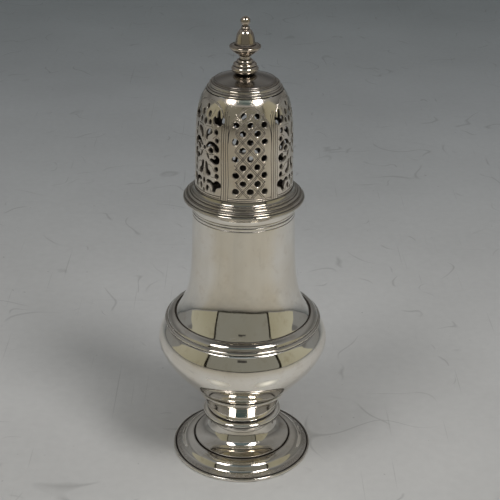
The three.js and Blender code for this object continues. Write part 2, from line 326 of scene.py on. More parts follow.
turned("stem_collar",
       join([(10.6, 13.3), (12.5, 13.3), (12.68, 13.36), (12.78, 13.47), (12.8, 13.62), (12.74, 13.76), (12.6, 13.86), (12.42, 13.92), (12.38, 14.0), (12.48, 14.1), (12.68, 14.18), (12.8, 14.3)],
            spline([(12.81, 14.4), (12.75, 14.58), (12.55, 14.8), (12.25, 14.98), (11.9, 15.1), (11.6, 15.16)], 0.1, 2),
            [(11.35, 15.2), (11.12, 15.3), (11.06, 15.45), (11.1, 15.6), (11.24, 15.7)],
            spline([(11.42, 15.8), (11.58, 16.3), (11.9, 17.2), (12.3, 18.2), (12.8, 19.3), (13.3, 20.32), (13.83, 21.35), (14.33, 22.25), (14.73, 23.0), (14.96, 23.55),
                    (15.1, 24.0)], 0.14, 5),
            [(15.14, 24.1), (15.24, 24.2), (15.4, 24.3), (15.5, 24.43), (15.53, 24.58), (15.46, 24.71), (15.36, 24.78)]),
       [(14.2, 24.78), (13.6, 22.6), (12.6, 20.6), (11.6, 18.2), (10.7, 16.2), (10.4, 15.2), (10.4, 14.0)], "pot", polished,
       grime_and_shade_spots=[(11.16, 15.45, 0.44, 1.0), (12.62, 14.0, 0.3, 1.0), (12.9, 13.62, 0.22, 0.6), (15.13, 24.08, 0.14, 0.7), (12.5, 13.3, 0.26, 0.95), (15.35, 24.8, 0.2, 0.95)], seg=200, inside=0.6, uneven=0.015)

turned("bowl",
       join([(0.0, 24.85), (13.9, 24.85), (15.2, 24.85), (15.36, 24.9)],
            spline([(15.5, 24.98), (16.05, 25.4), (16.85, 26.15), (17.7, 27.0), (18.6, 27.95), (19.55, 29.02), (20.5, 30.15), (21.5, 31.38), (22.7, 32.87), (23.85, 34.4),
                    (24.85, 35.95), (25.75, 37.6), (26.45, 39.3), (26.92, 40.9), (27.05, 42.0), (26.98, 43.1), (26.65, 44.4), (26.08, 45.75), (25.52, 46.7), (25.04, 47.42),
                    (24.8, 47.78)], 0.3, 10),
            [(24.72, 47.88), (24.6, 48.02), (24.46, 48.14), (24.34, 48.24), (24.3, 48.3)]),
       join([(22.8, 48.3)], spline([(23.4, 47.6), (24.8, 45.9), (25.8, 43.8), (26.05, 41.8), (25.5, 39.3), (24.2, 36.9), (22.4, 34.6), (20.3, 32.1), (18.0, 29.5),
                                    (16.3, 27.7), (14.9, 26.5), (13.2, 25.95), (9.0, 25.8)], 0.6, 3), (0.0, 25.8)), "pot", body_silver,
       grime_and_shade_spots=[(15.3, 24.86, 0.16, 0.9), (24.36, 48.22, 0.26, 1.0)], seg=200, inside=0.3, uneven=0.05)

turned("girdle_moulding",
       join([(23.5, 48.34), (24.36, 48.34), (24.5, 48.4)],
            spline([(24.6, 48.44), (24.8, 48.56), (24.93, 48.78), (24.94, 49.0), (24.86, 49.2), (24.68, 49.38), (24.48, 49.49)], 0.08, 1),
            [(24.36, 49.53), (24.2, 49.53), (24.1, 49.56), (24.08, 49.64)],
            spline([(24.1, 49.72), (24.04, 49.95), (23.9, 50.22), (23.66, 50.52), (23.36, 50.8), (23.02, 51.03), (22.68, 51.2), (22.4, 51.3), (22.2, 51.33)], 0.1, 2),
            [(22.0, 51.33), (21.7, 51.28), (21.5, 51.2)]),
       [(21.42, 51.1), (22.4, 49.9)], "pot", girdle_silver,
       grime_and_shade_spots=[(24.42, 48.36, 0.28, 1.0), (24.12, 49.58, 0.14, 0.8), (21.6, 51.24, 0.4, 1.0)], seg=200, inside=0.8, uneven=0.03)

NECK = spline([(21.36, 51.36), (21.2, 51.6), (20.88, 52.06), (20.48, 52.66), (19.95, 53.52), (19.38, 54.6), (18.82, 55.8), (18.32, 57.05), (17.88, 58.4),
               (17.5, 59.9), (17.16, 61.6), (16.84, 63.5), (16.6, 65.5), (16.4, 68.0), (16.24, 71.0), (16.1, 74.5), (16.0, 78.0), (15.92, 81.5), (15.86, 84.2),
               (15.83, 85.5)], 0.3, 8)
turned("neck",
       join([(21.36, 51.12), (21.4, 51.2), (21.4, 51.28)], NECK,
            [(15.8, 85.62), (15.71, 85.7), (15.7, 85.78), (15.79, 85.86), (15.83, 85.98), (15.83, 86.55), (15.8, 86.66), (15.72, 86.72), (15.71, 86.8), (15.78, 86.9), (15.8, 86.97)]),
       join([(15.0, 86.97)], spline([(14.97, 83.0), (14.98, 76.0), (15.3, 68.5), (15.9, 62.5), (17.1, 57.6), (18.4, 54.7), (20.3, 51.6)], 0.6, 2)),
       "pot", body_silver,
       grime_and_shade_spots=[(21.4, 51.2, 0.12, 1.0), (15.71, 85.74, 0.09, 0.95), (15.72, 86.76, 0.1, 0.95)], seg=200, inside=0.3, uneven=0.05)

turned("body_rim",
       join([(15.0, 87.0), (15.8, 87.0), (15.88, 87.08), (15.96, 87.25), (15.97, 87.45), (15.93, 87.62), (15.88, 87.72), (15.89, 87.82)],
            spline([(15.9, 87.85), (15.95, 88.2), (16.05, 88.6), (16.2, 89.0), (16.4, 89.35), (16.6, 89.6)], 0.1, 1),
            [(16.66, 89.72), (16.66, 89.82), (16.6, 89.9)]),
       [(15.1, 89.9), (14.97, 89.75), (14.96, 87.4)], "pot", polished,
       grime_and_shade_spots=[(15.8, 87.0, 0.1, 0.8), (15.88, 87.75, 0.08, 0.5), (16.5, 89.9, 0.25, 0.7)], seg=224, inside=0.3)

# ------------------------------------------------------------------ the cover's turned pieces
turned("cover_sleeve",
       join([(13.82, 81.47), (14.42, 81.47), (14.52, 81.53), (14.6, 81.7), (14.66, 82.0)], spline([(14.68, 82.1), (14.7, 84.5), (14.7, 87.5), (14.68, 89.98)], 0.4, 0)),
       [(13.78, 89.98), (13.76, 86.0), (13.77, 81.6)], "sleeve", sleeve_silver, seg=160, inside=0.45)

turned("cover_flange",
       join([(13.8, 90.06), (17.2, 90.06), (17.6, 90.12)], arc(18.02, 91.05, 0.58, -68, 58, 14), [(18.2, 91.57), (18.12, 91.58)],
            arc(17.75, 91.8, 0.37, -30, 88, 10),
            [(17.6, 92.17), (17.42, 92.2), (17.26, 92.3), (17.16, 92.45), (17.1, 92.56)], arc(16.76, 92.76, 0.33, -26, 86, 9),
            [(16.62, 93.1), (16.45, 93.14), (16.34, 93.2), (16.28, 93.3)], arc(16.0, 93.46, 0.28, -28, 84, 8),
            spline([(15.9, 93.76), (15.66, 93.86), (15.45, 94.08), (15.3, 94.4), (15.2, 94.75), (15.14, 94.98)], 0.1, 1)),
       [(14.1, 94.98), (13.9, 94.2)], "cover", cover_silver,
       grime_and_shade_spots=[(18.12, 91.57, 0.2, 1.0), (17.42, 92.2, 0.17, 0.9), (17.14, 92.5, 0.17, 0.95), (16.36, 93.18, 0.18, 1.0), (15.9, 93.77, 0.14, 0.9), (15.13, 94.98, 0.2, 0.95),
                (16.9, 90.06, 0.7, 0.8)], seg=200, inside=0.7)

turned("cap_moulding",
       join([(10.3, 125.34), (11.1, 125.34)], arc(11.0, 125.68, 0.3, -62, 70, 10), [(11.02, 126.0), (10.92, 126.04), (10.84, 126.14)],
            spline([(10.82, 126.2), (10.66, 126.34), (10.5, 126.46), (10.42, 126.62)], 0.08, 0), arc(10.0, 126.95, 0.46, -28, 78, 12),
            [(9.98, 127.44), (9.84, 127.46), (9.76, 127.54), (9.7, 127.66), (9.6, 127.73), (9.5, 127.75)]),
       [(8.6, 127.72), (8.9, 126.6), (9.7, 125.9)], "cover", cover_silver,
       grime_and_shade_spots=[(10.88, 126.08, 0.18, 1.0), (10.42, 126.6, 0.12, 0.8), (9.8, 127.5, 0.18, 1.0), (11.12, 125.36, 0.22, 1.0)], seg=224, inside=0.7)

turned("cap_disc",
       join([(8.3, 127.78), (9.4, 127.78), (9.42, 127.88), (9.36, 128.02), (9.22, 128.12), (9.08, 128.15), (9.0, 128.11), (8.92, 128.15)],
            spline([(8.88, 128.19), (8.3, 128.42), (7.4, 128.74), (6.3, 129.08), (5.2, 129.37), (4.2, 129.58), (3.2, 129.73), (2.4, 129.79), (1.15, 129.8)], 0.2, 4)),
       [(1.15, 128.95), (5.0, 128.6)], "cover", cap_silver,
       grime_and_shade_spots=[(9.0, 128.12, 0.12, 0.8), (9.42, 127.82, 0.1, 0.7), (2.6, 129.8, 0.35, 0.8)], seg=192, inside=0.7, uneven=0.015)

turned("finial",
       join([(0.0, 128.72), (0.9, 128.72), (1.0, 128.85), (1.0, 129.82), (2.4, 129.82), (2.54, 129.88), (2.56, 130.0), (2.5, 130.08)],
            spline([(2.56, 130.12), (3.0, 130.18), (3.5, 130.4), (3.86, 130.75), (4.0, 131.2), (3.94, 131.62), (3.74, 131.95), (3.5, 132.15)], 0.1, 1),
            [(3.4, 132.2), (3.34, 132.28), (3.38, 132.38)],
            spline([(3.42, 132.45), (3.44, 132.7), (3.3, 132.95), (3.05, 133.13), (2.75, 133.22)], 0.08, 1),
            [(2.6, 133.24), (2.5, 133.3), (2.46, 133.4)],
            spline([(2.46, 133.45), (2.42, 133.72), (2.24, 133.95), (2.02, 134.1)], 0.08, 1), [(1.9, 134.14), (1.82, 134.2)],
            spline([(1.8, 134.25), (1.68, 134.5), (1.65, 134.8), (1.72, 135.1), (1.84, 135.28)], 0.08, 1),
            [(1.94, 135.34), (2.12, 135.36), (2.2, 135.44)],
            spline([(2.24, 135.5), (2.6, 135.78), (3.1, 136.12), (3.6, 136.5), (4.0, 136.9), (4.14, 137.1)], 0.1, 1),
            [(4.16, 137.2), (4.24, 137.24)],
            spline([(4.3, 137.26), (4.5, 137.42), (4.62, 137.68), (4.64, 137.9), (4.56, 138.12), (4.4, 138.24)], 0.07, 1),
            [(4.26, 138.25), (4.15, 138.2)],
            spline([(4.1, 138.19), (3.75, 138.22), (3.4, 138.36), (3.12, 138.6), (2.94, 138.95), (2.84, 139.35), (2.76, 139.9), (2.66, 140.5), (2.54, 141.1),
                    (2.38, 141.65), (2.16, 142.15), (1.88, 142.55), (1.6, 142.82), (1.36, 142.98)], 0.1, 2),
            [(1.26, 143.02), (1.18, 143.1), (1.22, 143.22)],
            spline([(1.25, 143.3), (1.28, 143.45), (1.2, 143.62), (1.06, 143.74)], 0.06, 0), [(0.98, 143.8), (0.94, 143.9), (0.95, 144.0)],
            arc(0.0, 145.3, 1.45, -50, 82, 22), (0.0, 146.75)),
       [], "cover", finial_silver,
       grime_and_shade_spots=[(2.5, 130.08, 0.3, 1.0), (3.35, 132.26, 0.2, 1.0), (2.5, 133.3, 0.2, 1.0), (1.84, 134.2, 0.22, 0.95), (2.1, 135.36, 0.26, 1.0), (4.18, 137.2, 0.2, 1.0),
                (4.2, 138.2, 0.24, 0.95), (3.1, 138.6, 0.5, 0.75), (3.3, 136.3, 0.5, 0.35), (1.2, 143.08, 0.2, 1.0), (0.94, 143.9, 0.22, 1.0)], seg=112)

# ------------------------------------------------------------------ the pierced dome
# The wall is laid out flat: x runs round the dome (mm at radius 14.7), y is the length up its side from z 95.
FLAT_R = 14.7
ROUND = 2 * math.pi * FLAT_R
DEG = math.radians(1.0) * FLAT_R
WALL = 0.72
PANEL_AZ = 7.0
side = np.array(spline([(14.98, 95.0), (14.9, 96.4), (14.83, 99.0), (14.78, 102.0), (14.73, 105.0), (14.66, 109.0), (14.56, 112.5), (14.38, 115.6),
                        (14.08, 118.3), (13.62, 120.55), (13.0, 122.5), (12.25, 124.1), (11.45, 125.3)], 0.05, 260))
side_s = np.concatenate([[0], np.cumsum(np.linalg.norm(np.diff(side, axis=0), axis=1))])
SIDE = float(side_s[-1])
slope = np.gradient(side, side_s, axis=0)
slope /= np.linalg.norm(slope, axis=1)[:, None]


def up_side(z):
    return float(np.interp(z, side[:, 1], side_s))


def flat(az, z):
    """Flat layout point of an azimuth in degrees and a height."""
    return (az * DEG, up_side(z))


def unroll(points, closed=False, step=0.26, relax=1, smooth=True):
    """Smooth line through (azimuth, height) points, in the flat layout."""
    p = [flat(a, z) for a, z in points]
    if closed:
        n = len(p)
        q = spline(p[-3:] + p + p[:4], step, 0) if smooth else p
        if smooth:
            q = np.array(q)
            a = int(np.argmin(np.linalg.norm(q - np.array(p[0]), axis=1) + 1e3 * (np.arange(len(q)) > 0.6 * len(q))))
            far = np.linalg.norm(q - np.array(p[0]), axis=1)
            ends = [i for i in range(len(q)) if i > a + 4 and far[i] == far[max(0, i - 6):i + 7].min() and far[i] < step]
            b = ends[-1] if ends else len(q) - 1
            q = [tuple(x) for x in q[a:b]]
        return q
    return spline(p, step, relax) if smooth else p


def oval(az, z, across, high, n=20, turn=0.0):
    x0, y0 = flat(az, z)
    c, s = math.cos(math.radians(turn)), math.sin(math.radians(turn))
    return [(x0 + c * across * math.cos(2 * math.pi * i / n) - s * high * math.sin(2 * math.pi * i / n),
             y0 + s * across * math.cos(2 * math.pi * i / n) + c * high * math.sin(2 * math.pi * i / n)) for i in range(n)]


holes, lines = [], []
# lattice: staggered round holes, double diagonal lines between them
for row in range(10):
    for c in ([-17, 0, 17] if row % 2 == 0 else [-8.5, 8.5]):
        z = 98.2 + 2.55 * row
        holes.append(oval(PANEL_AZ + c, z, 0.97 + 0.05 * math.sin(3 * row + c), 0.97 + 0.05 * math.cos(5 * row + c), 18))
for odd in range(-11, 13, 2):
    for gap in (-0.13, 0.13):
        for sign in (-1, 1):
            pts = []
            for t in np.linspace(-0.72, 9.3, 60):
                i = sign * (t - (odd + gap)) if sign > 0 else -(t - (odd + gap))
                i = (t - (odd + gap)) * sign
                if abs(i) <= 2.06:
                    pts.append((PANEL_AZ + 8.5 * i, 98.2 + 2.55 * t))
            if len(pts) > 3 and math.dist(flat(*pts[0]), flat(*pts[-1])) > 0.9:
                lines.append(([flat(*q) for q in (pts[0], pts[len(pts) // 3], pts[2 * len(pts) // 3], pts[-1])], 0.13, 0.085))
# straight bands between the panels
for centre, marks in ((-23.0, (1.3, 4.2)), (37.0, (-4.2, -1.3, 1.3, 4.2)), (97.0, (-4.2, -1.3))):
    for m in marks:
        top = 120.9 if abs(m) > 2 else 121.6
        lines.append((unroll([(centre + m, 95.05), (centre + m, 100), (centre + m, 107), (centre + m * 0.98, 114), (centre + m * 0.93, top)], step=0.8), 0.13, 0.09))
# base lines of the panels
for a, b in ((-18.0, 32.0), (42.0, 92.0)):
    for z in (95.3, 95.9):
        lines.append((unroll([(a, z), ((a + b) / 2, z), (b, z)], step=1.0), 0.15, 0.085))
# curved heads of the panels
for grow in (0.0, 0.55):
    lines.append((unroll([(PANEL_AZ - 25.4 - grow, 113.2), (PANEL_AZ - 24.6 - grow, 116.2 + grow * 0.4), (PANEL_AZ - 21.3 - grow, 118.9 + grow * 0.7), (PANEL_AZ - 14.5, 121.2 + grow),
                          (PANEL_AZ - 7.0, 122.75 + grow), (PANEL_AZ, 123.15 + grow), (PANEL_AZ + 7.0, 122.75 + grow), (PANEL_AZ + 14.5, 121.2 + grow),
                          (PANEL_AZ + 21.3 + grow, 118.9 + grow * 0.7), (PANEL_AZ + 24.6 + grow, 116.2 + grow * 0.4), (PANEL_AZ + 25.4 + grow, 113.2)], step=0.7), 0.14, 0.07))
    lines.append((unroll([(67 - 28.4, 118.9 + grow * 0.5), (67 - 25.0, 121.6 + grow * 0.5), (67 - 17.5, 123.2 + grow * 0.6), (67 - 8, 123.75 + grow * 0.6), (67, 123.9 + grow * 0.6),
                          (67 + 8, 123.75 + grow * 0.6), (67 + 17.5, 123.2 + grow * 0.6), (67 + 25.0, 121.6 + grow * 0.5), (67 + 28.4, 118.9 + grow * 0.5)], step=0.7), 0.14, 0.07))
# foliate scroll panel, right-hand half
scrolls = [
    [(13.6, 119.3), (14.6, 118.3), (16.6, 117.9), (19.0, 118.0), (21.2, 117.6), (23.6, 117.7), (25.6, 118.4), (27.6, 118.3), (28.6, 119.1), (28.0, 120.0),
     (26.2, 120.1), (24.6, 119.6), (23.0, 119.9), (21.9, 120.7), (20.9, 121.7), (19.5, 121.9), (18.6, 121.1), (18.7, 120.0), (17.6, 119.6), (15.6, 120.1)],
    [(3.9, 112.9), (3.0, 113.8), (4.2, 115.1), (7.2, 116.0), (11.0, 116.1), (12.8, 115.5), (10.9, 114.9), (8.2, 114.5), (5.9, 113.8), (4.8, 113.0)],
    [(3.0, 110.6), (6.2, 111.8), (9.6, 112.35), (12.6, 112.5), (16.5, 112.3), (20.3, 111.6), (22.3, 110.8), (21.6, 109.9), (18.9, 109.6), (16.3, 110.0),
     (15.2, 110.9), (12.3, 111.4), (8.1, 111.1), (4.5, 110.5)],
    [(7.3, 109.8), (9.3, 110.5), (12.0, 110.6), (13.9, 110.1), (13.7, 109.5), (11.6, 109.1), (8.8, 109.2)],
    [(4.3, 108.55), (5.2, 108.5), (7.6, 107.35), (7.5, 107.0), (6.6, 107.2), (4.9, 107.9)],
    [(9.4, 106.8), (11.7, 107.25), (13.8, 107.3), (15.9, 107.15), (17.6, 107.6), (16.3, 108.05), (16.5, 108.4), (19.0, 108.55), (21.7, 108.2), (23.1, 107.4),
     (21.8, 106.4), (18.5, 105.9), (15.5, 105.9), (12.2, 106.2)],
    [(2.0, 105.6), (3.8, 105.7), (4.9, 104.9), (6.4, 103.5), (10.1, 102.7), (10.2, 102.0), (6.8, 101.6), (4.2, 102.1), (2.9, 103.3), (1.9, 104.5)],
    [(5.0, 99.8), (8.0, 100.25), (11.8, 100.1), (14.9, 99.6), (17.1, 100.1), (20.0, 100.5), (22.8, 100.3), (24.7, 99.6), (24.3, 98.9), (21.5, 98.4),
     (18.9, 98.2), (17.8, 97.3), (15.6, 96.8), (13.9, 97.0), (14.5, 98.0), (12.8, 98.9), (10.2, 99.5), (6.2, 99.45)],
]
FIRST_SCROLL = len(holes)
for shape in scrolls:
    holes.append(unroll([(67 + a, z) for a, z in shape], closed=True))
    holes.append(unroll([(67 - a, z) for a, z in shape[::-1]], closed=True))
for a, z, across, high in ((18.5, 115.7, 0.72, 0.92), (19.6, 113.2, 0.66, 0.8), (19.1, 104.4, 0.66, 0.86), (19.7, 102.1, 0.72, 0.86),
                           (5.8, 97.7, 0.55, 0.95), (6.2, 120.45, 0.68, 0.98), (8.7, 118.25, 0.55, 0.78)):
    holes.append(oval(67 + a, z, across, high, 16, -8))
    holes.append(oval(67 - a, z, across, high, 16, 8))
for z, across, high in ((122.4, 0.62, 0.8), (118.1, 0.62, 0.98), (110.05, 0.62, 0.62), (99.7, 0.55, 0.95), (96.75, 0.38, 0.5)):
    holes.append(oval(67, z, across, high, 16))
# light leaf veins and scroll shading cut beside the piercings
veins = [[(3.0, 116.7), (6.0, 116.95), (9.5, 117.0), (13.0, 116.9)], [(1.5, 112.3), (1.2, 114.0), (1.8, 116.0)], [(14.5, 113.7), (17.0, 114.4), (21.6, 114.5), (24.0, 113.2)],
         [(2.3, 109.0), (8.5, 108.4), (15.0, 108.9)], [(7.5, 105.2), (12.5, 104.9), (16.5, 103.4)], [(12.0, 101.4), (16.5, 101.4), (22.5, 102.6)],
         [(1.6, 101.4), (1.3, 102.6), (0.9, 103.6)], [(8.6, 98.2), (11.0, 97.7), (11.8, 96.9)], [(10.2, 120.0), (12.2, 120.8), (13.2, 121.7)]]
for v in veins:
    for sgn in (1, -1):
        lines.append((unroll([(67 + sgn * a, z) for a, z in v], step=0.5), 0.11, 0.07))


def resample(line, step):
    p = np.array(line, float)
    d = np.concatenate([[0], np.cumsum(np.linalg.norm(np.diff(p, axis=0), axis=1))])
    n = max(2, int(round(d[-1] / step)))
    u = np.linspace(0, d[-1], n + 1)
    return np.stack([np.interp(u, d, p[:, 0]), np.interp(u, d, p[:, 1])], 1)


def grown(poly, by):
    """The closed outline moved outward."""
    p = np.array(poly, float)
    t = np.roll(p, -1, 0) - np.roll(p, 1, 0)
    n = np.stack([t[:, 1], -t[:, 0]], 1) / np.maximum(1e-9, np.linalg.norm(t, axis=1))[:, None]
    x, y = p[:, 0], p[:, 1]
    if np.sum(x * np.roll(y, -1) - np.roll(x, -1) * y) < 0:
        n = -n
    return p + by * n


for k in range(FIRST_SCROLL, FIRST_SCROLL + 2 * len(scrolls)):
    holes[k] = [tuple(q) for q in grown(holes[k], 0.12)]


def inside_any(pts, polys):
    hit = np.zeros(len(pts), bool)
    for poly in polys:
        p = np.array(poly)
        near = (pts[:, 0] > p[:, 0].min()) & (pts[:, 0] < p[:, 0].max()) & (pts[:, 1] > p[:, 1].min()) & (pts[:, 1] < p[:, 1].max())
        if not near.any():
            continue
        q = pts[near]
        odd = np.zeros(len(q), bool)
        for (x1, y1), (x2, y2) in zip(p, np.roll(p, -1, 0)):
            if y1 != y2:
                cross = ((y1 > q[:, 1]) != (y2 > q[:, 1])) & (q[:, 0] < (x2 - x1) * (q[:, 1] - y1) / (y2 - y1) + x1)
                odd ^= cross
        hit[np.nonzero(near)[0][odd]] = True
    return hit


def distance(pts, a, b):
    """Distance from each point to the nearest of the segments a to b."""
    best = np.full(len(pts), 1e9)
    for p, q in zip(a, b):
        near = (np.abs(pts - (p + q) / 2).max(1) < np.abs(p - q).max() / 2 + 0.4)
        if not near.any():
            continue
        v = q - p
        w = pts[near] - p
        t = np.clip((w @ v) / max(1e-12, v @ v), 0, 1)
        best[near] = np.minimum(best[near], np.linalg.norm(w - t[:, None] * v, axis=1))
    return best


X0, X1 = -23.0 * DEG, 97.0 * DEG
WIDE = X1 - X0


def sheet(step, fine):
    """Triangles of one third of the wall in the flat layout: points, triangles, and each hole's outline as point numbers."""
    pts, edges, marks = [], [], []

    def chain(line, closed=False):
        first = len(pts)
        pts.extend(map(tuple, line))
        n = len(line)
        edges.extend((first + i, first + (i + 1) % n) for i in range(n if closed else n - 1))
        return list(range(first, first + n))

    for poly in holes:
        marks.append(chain(poly, True))
    segs = []
    if fine:
        for poly in holes:
            chain(grown(poly, 0.12), True)
        for line, half, _ in lines:
            p = resample(line, 0.9)
            t = np.gradient(p, axis=0)
            t /= np.linalg.norm(t, axis=1)[:, None]
            n = np.stack([-t[:, 1], t[:, 0]], 1)
            chain(p)
            for s in (-1, 1):
                q = p + s * half * n
                q[0] -= 0.0 * t[0]
                chain(q)
            segs.append((p[:-1], p[1:]))
    blocked_a = np.concatenate([s[0] for s in segs] + [np.array(h) for h in holes])
    blocked_b = np.concatenate([s[1] for s in segs] + [np.roll(np.array(h), -1, 0) for h in holes])
    nx, ny = int(round(WIDE / step)), int(round(SIDE / step))
    grid = []
    for j in range(ny + 1):
        for i in range(nx + 1):
            x = X0 + WIDE * i / nx
            if 0 < i < nx and 0 < j < ny:
                x += (0.5 if j % 2 else 0.0) * WIDE / nx * (1 if i < nx - 1 or not j % 2 else 0.9)
            grid.append((min(x, X1), SIDE * j / ny))
    grid = np.array(grid)
    rim = (grid[:, 0] < X0 + 1e-9) | (grid[:, 0] > X1 - 1e-9) | (grid[:, 1] < 1e-9) | (grid[:, 1] > SIDE - 1e-9)
    keep = rim | ((distance(grid, blocked_a, blocked_b) > 0.26) & ~inside_any(grid, holes))
    pts.extend(map(tuple, grid[keep]))
    pts = [(min(max(x, X0), X1), min(max(y, 0.0), SIDE)) for x, y in pts]
    v, _, f, back, _, _ = delaunay_2d_cdt([Vector(p) for p in pts], edges, [], 0, 1e-5)
    v = np.array([tuple(p) for p in v])
    f = np.array([tuple(t) for t in f if len(t) == 3])
    index = {}
    for new, olds in enumerate(back):
        for o in olds:
            index[o] = new
    mid = v[f].mean(1)
    f = f[~inside_any(mid, holes)]
    a, b, c = v[f[:, 0]], v[f[:, 1]], v[f[:, 2]]
    area = (b[:, 0] - a[:, 0]) * (c[:, 1] - a[:, 1]) - (c[:, 0] - a[:, 0]) * (b[:, 1] - a[:, 1])
    f[area < 0] = f[area < 0][:, ::-1]
    f = f[np.abs(area) > 1e-9]
    return v, f, [[index[i] for i in m] for m in marks]


def wander(p):
    """The small drift of hand-marked work, the same all round so that the ends meet."""
    a = p[:, 0] / FLAT_R
    y = p[:, 1]
    fade = np.clip(np.minimum(y, SIDE - y) / 1.2, 0, 1)
    dx = 0.09 * np.sin(2 * a + 0.25 * y + 0.6) + 0.06 * np.sin(7 * a - 0.4 * y) + 0.025 * np.sin(17 * a + 0.9 * y + 1.1)
    dy = 0.08 * np.sin(3 * a + 0.3 * y + 2.0) + 0.05 * np.sin(11 * a + 0.5 * y) + 0.02 * np.sin(23 * a - 0.7 * y + 0.5)
    return np.stack([p[:, 0] + dx * fade, y + dy * fade], 1)


def wrap(p, inward):
    """Flat layout points on the wall, so far in from its outer face, and the face's outward normals."""
    q = wander(p)
    r = np.interp(q[:, 1], side_s, side[:, 0])
    z = np.interp(q[:, 1], side_s, side[:, 1])
    sr = np.interp(q[:, 1], side_s, slope[:, 0])
    sz = np.interp(q[:, 1], side_s, slope[:, 1])
    th = q[:, 0] / FLAT_R
    nr, nz = sz, -sr
    r2, z2 = r - inward * nr, z - inward * nz
    pos = np.stack([r2 * np.sin(th), -r2 * np.cos(th), z2], 1)
    nor = np.stack([nr * np.sin(th), -nr * np.cos(th), nz], 1)
    return pos, nor


def key_of(p):
    x = (p[0] - X0) % ROUND
    if x > ROUND - 1e-4:
        x = 0.0
    return (int(round(x * 2e3)), int(round(p[1] * 2e3)))


def build_dome():
    out_v, out_f, out_h = sheet(0.5, True)
    in_v, in_f, in_h = sheet(1.1, False)
    line_a = np.concatenate([resample(l, 0.9)[:-1] for l, _, _ in lines])
    line_b = np.concatenate([resample(l, 0.9)[1:] for l, _, _ in lines])
    cut = np.zeros(len(out_v))
    dark = np.zeros(len(out_v))
    for line, half, depth in lines:
        p = resample(line, 0.9)
        d = distance(out_v, p[:-1], p[1:])
        v = np.clip(1 - d / half, 0, 1)
        cut = np.maximum(cut, depth * v)
        dark = np.maximum(dark, np.clip(v * 1.15, 0, 1) * min(1.0, depth / 0.085))
    lip = np.zeros(len(out_v), bool)
    for h in out_h:
        lip[h] = True
    cut = np.maximum(cut, np.where(lip, 0.085, 0.0))
    dark = np.maximum(dark, np.where(lip, 0.3, 0.0))
    fade = np.clip(np.minimum(out_v[:, 1], SIDE - out_v[:, 1]) / 0.1, 0, 1)
    cut *= fade
    P, N, D, F, kinds, index = [], [], [], [], [], {}

    def take(points, triangles, inward, grime_and_shade, side_id, edge_ids):
        pos, nor = wrap(points, inward)
        ids = np.zeros(len(points), int)
        for i in range(len(points)):
            k = (side_id, *key_of(points[i]))
            if k not in index:
                index[k] = len(P)
                P.append(pos[i] * MM)
                N.append(nor[i] if side_id == 0 else -nor[i])
                D.append(grime_and_shade[i])
            ids[i] = index[k]
        return ids

    for third in range(3):
        move = np.array([third * ROUND / 3, 0.0])
        a = take(out_v + move, out_f, cut, dark, 0, None)
        # The inner face gets a high darkening value: painted shade, so the piercings show a near-black inside.
        b = take(in_v + move, in_f, np.full(len(in_v), WALL), np.full(len(in_v), 0.72), 1, None)
        detail = (cut[out_f] > 0.004).any(1)
        for t, d in zip(out_f, detail):
            F.append((a[t[0]], a[t[1]], a[t[2]]))
            kinds.append(1 if d else 0)
        for t in in_f:
            F.append((b[t[0]], b[t[2]], b[t[1]]))
            kinds.append(0)
        for ho, hi in zip(out_h, in_h):
            n = len(ho)
            ring = np.array([out_v[i] for i in ho])
            ccw = np.sum(ring[:, 0] * np.roll(ring[:, 1], -1) - np.roll(ring[:, 0], -1) * ring[:, 1]) > 0
            for i in range(n):
                j = (i + 1) % n
                q = (a[ho[i]], b[hi[i]], b[hi[j]], a[ho[j]]) if not ccw else (a[ho[j]], b[hi[j]], b[hi[i]], a[ho[i]])
                F.append(q[::-1])
                kinds.append(2)
        # the top and bottom edges of the wall
        for y, flip in ((0.0, False), (SIDE, True)):
            eo = sorted([i for i in range(len(out_v)) if abs(out_v[i, 1] - y) < 1e-6], key=lambda i: out_v[i, 0])
            ei = sorted([i for i in range(len(in_v)) if abs(in_v[i, 1] - y) < 1e-6], key=lambda i: in_v[i, 0])
            i = j = 0
            while i < len(eo) - 1 or j < len(ei) - 1:
                if j == len(ei) - 1 or (i < len(eo) - 1 and out_v[eo[i + 1], 0] <= in_v[ei[j + 1], 0] + 1e-9):
                    t = (a[eo[i]], b[ei[j]], a[eo[i + 1]])
                    i += 1
                else:
                    t = (a[eo[i]], b[ei[j]], b[ei[j + 1]])
                    j += 1
                F.append(t if not flip else t[::-1])
                kinds.append(2)
    P, N = np.array(P), np.array(N)
    F2, K2 = [], []
    for f, k in zip(F, kinds):
        if len(set(f)) >= 3 and len(set(f)) == len(f):
            F2.append(tuple(int(i) for i in f))
            K2.append(k)
        elif len(set(f)) == 3:
            F2.append(tuple(int(i) for i in dict.fromkeys(f)))
            K2.append(k)
    ob = finish_piece("cover_dome_metal", P, F2, "cover", "cover_dome", worn_silver, D, sharp=None)
    mesh = ob.data
    if len(mesh.polygons) == len(F2):
        normals = []
        for poly, k in zip(mesh.polygons, K2):
            flat_n = poly.normal
            for vi in poly.vertices:
                normals.append(tuple(N[vi]) if k == 0 else tuple(flat_n))
        mesh.normals_split_custom_set(normals)
    else:
        print("dome: faces dropped by validate, so plain smooth normals", len(F2), len(mesh.polygons))
        mesh.set_sharp_from_angle(angle=math.radians(30))
    return ob


build_dome()

